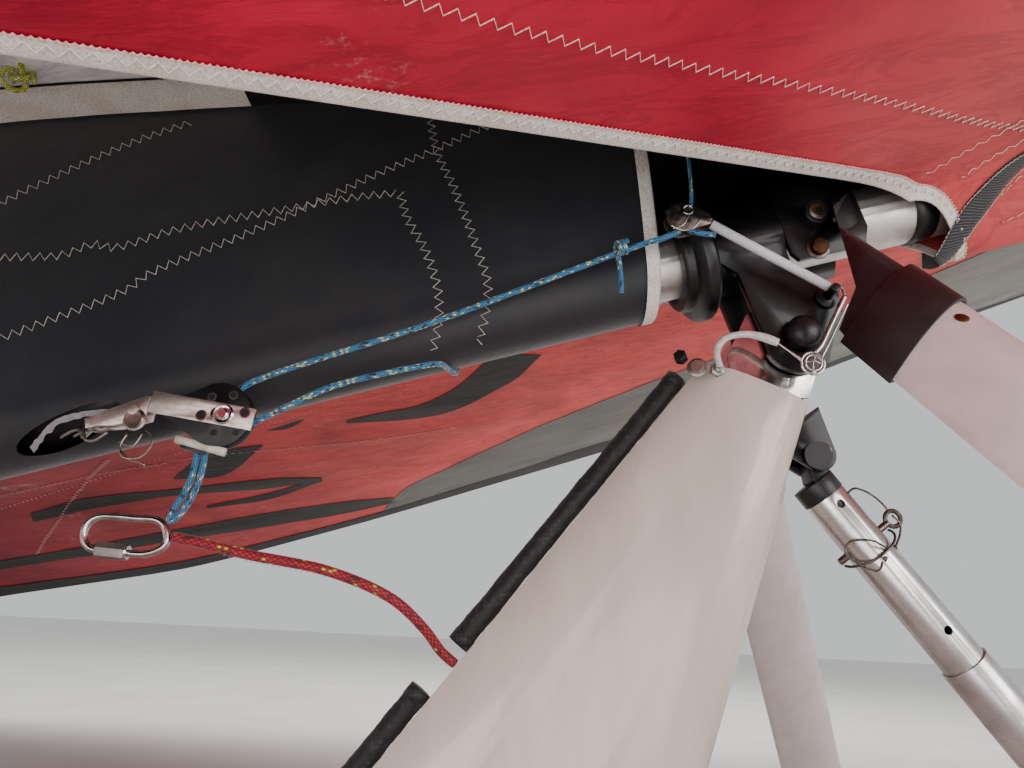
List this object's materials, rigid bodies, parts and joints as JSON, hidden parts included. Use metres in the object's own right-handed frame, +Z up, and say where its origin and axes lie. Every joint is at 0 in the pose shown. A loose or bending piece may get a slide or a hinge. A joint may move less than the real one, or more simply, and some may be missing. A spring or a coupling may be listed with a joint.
{
  "type": "microlight trike hang point section",
  "caption": "Hang point of a flex-wing microlight: pylon head with fairing, hinged hang bracket, keel and pocket, sail centre, control frame tops, front strut and trim line.",
  "frame": {"origin": "middle of the flat face at the foot of the pylon mast, where it stands on the trike's frame", "axes": "+X forward to the nose, +Y port, +Z up with the pylon as the trike stands parked"},
  "size_m": [2.3723, 1.8, 1.0071],
  "materials": {
    "mast_alloy": "anodised aluminium tube",
    "white_grp": "white gelcoat",
    "polished_steel": "polished stainless sheet",
    "black_anodised": "black anodised aluminium",
    "zinc_steel": "zinc plated steel",
    "black_sleeving": "braided sleeving",
    "steel_wire": "stainless steel",
    "clear_sleeving": "milky sleeving over wire",
    "black_plastic": "moulded black plastic",
    "bright_tube": "bright drawn tube",
    "white_tube": "pale plastic tube",
    "red_rope": "braided cord with fleck",
    "blue_rope": "braided line",
    "leg_white": "white coated alloy",
    "sail_red": "coated polyester cloth",
    "sail_upper_red": "coated polyester cloth",
    "tape": "woven tape, zigzag sewn",
    "pocket_black": "heavy black cloth",
    "cream_plastic": "cream plastic"
  },
  "bodies": {
    "pylon": {"mast_tube": "mast_alloy", "mast_foot_plug": "mast_alloy", "pylon_fairing": "white_grp", "mast_head": "polished_steel", "strut_lug": "black_anodised", "hang_bolt": "black_anodised", "fairing_bolt": "zinc_steel", "sleeve_upper": "black_sleeving", "sleeve_lower": "black_sleeving"},
    "hang_block": {"safety_pin": "steel_wire", "pin_lanyard": "clear_sleeving", "hang_bracket": "black_anodised", "small_block": "steel_wire", "white_tube": "white_tube", "quick_link": "steel_wire", "red_cord": "red_rope"},
    "strut_upper": {"strut_fitting": "black_plastic", "strut_bolt": "zinc_steel", "strut_tube_upper": "bright_tube", "strut_pin": "steel_wire", "strut_pin_bail": "steel_wire"},
    "strut_lower": {"strut_tube_lower": "bright_tube"},
    "wing": {"keel_tube": "mast_alloy", "rear_saddle": "black_plastic", "control_frame_bracket": "black_anodised", "frame_bolt": "zinc_steel", "knuckle_starboard": "black_anodised", "knuckle_port": "black_anodised", "leg_starboard": "leg_white", "leg_port": "leg_white", "leg_cover_starboard": "black_plastic", "leg_cover_port": "black_plastic", "sail_lower_starboard": "sail_red", "sail_lower_port": "sail_red", "sail_upper": "sail_upper_red", "opening_binding": "tape", "keel_pocket": "pocket_black", "trim_block": "black_plastic", "trim_strap": "steel_wire", "trim_shackle": "steel_wire", "trim_line": "blue_rope", "slack_line": "blue_rope", "lift_line": "blue_rope", "tail_rope": "blue_rope"},
    "trim_sheave": {"trim_sheave": "cream_plastic"},
    "small_sheave": {"small_sheave": "cream_plastic"}
  },
  "joints": [
    {"name": "wing_pitch", "type": "hinge", "parent": "pylon", "child": "hang_block", "pos_m": [0.21, 0, 0.465], "axis": [0, -1, 0], "range_deg": [-22, 15], "deforming": ["red_cord", "pin_lanyard"]},
    {"name": "wing_roll", "type": "hinge", "parent": "hang_block", "child": "wing", "pos_m": [0.17946, 0, 0.56127], "axis": [0.9532, 0, 0.3024], "range_deg": [-8, 8], "deforming": ["trim_line", "lift_line", "tail_rope"]},
    {"name": "strut_swing", "type": "hinge", "parent": "pylon", "child": "strut_upper", "pos_m": [0.226, 0, 0.367], "axis": [0, -1, 0], "range_deg": [-25, 20]},
    {"name": "strut_slide", "type": "slide", "parent": "strut_upper", "child": "strut_lower", "axis": [0.6293, 0, -0.7771], "range_m": [-0.085, 0.1]},
    {"name": "trim_sheave_spin", "type": "hinge", "parent": "wing", "child": "trim_sheave", "pos_m": [-0.25481, -0.057, 0.36266], "axis": [0, -1, 0], "continuous": true},
    {"name": "small_sheave_spin", "type": "hinge", "parent": "hang_block", "child": "small_sheave", "pos_m": [0.10232, -0.067, 0.54813], "axis": [0, -1, 0], "continuous": true}
  ]
}
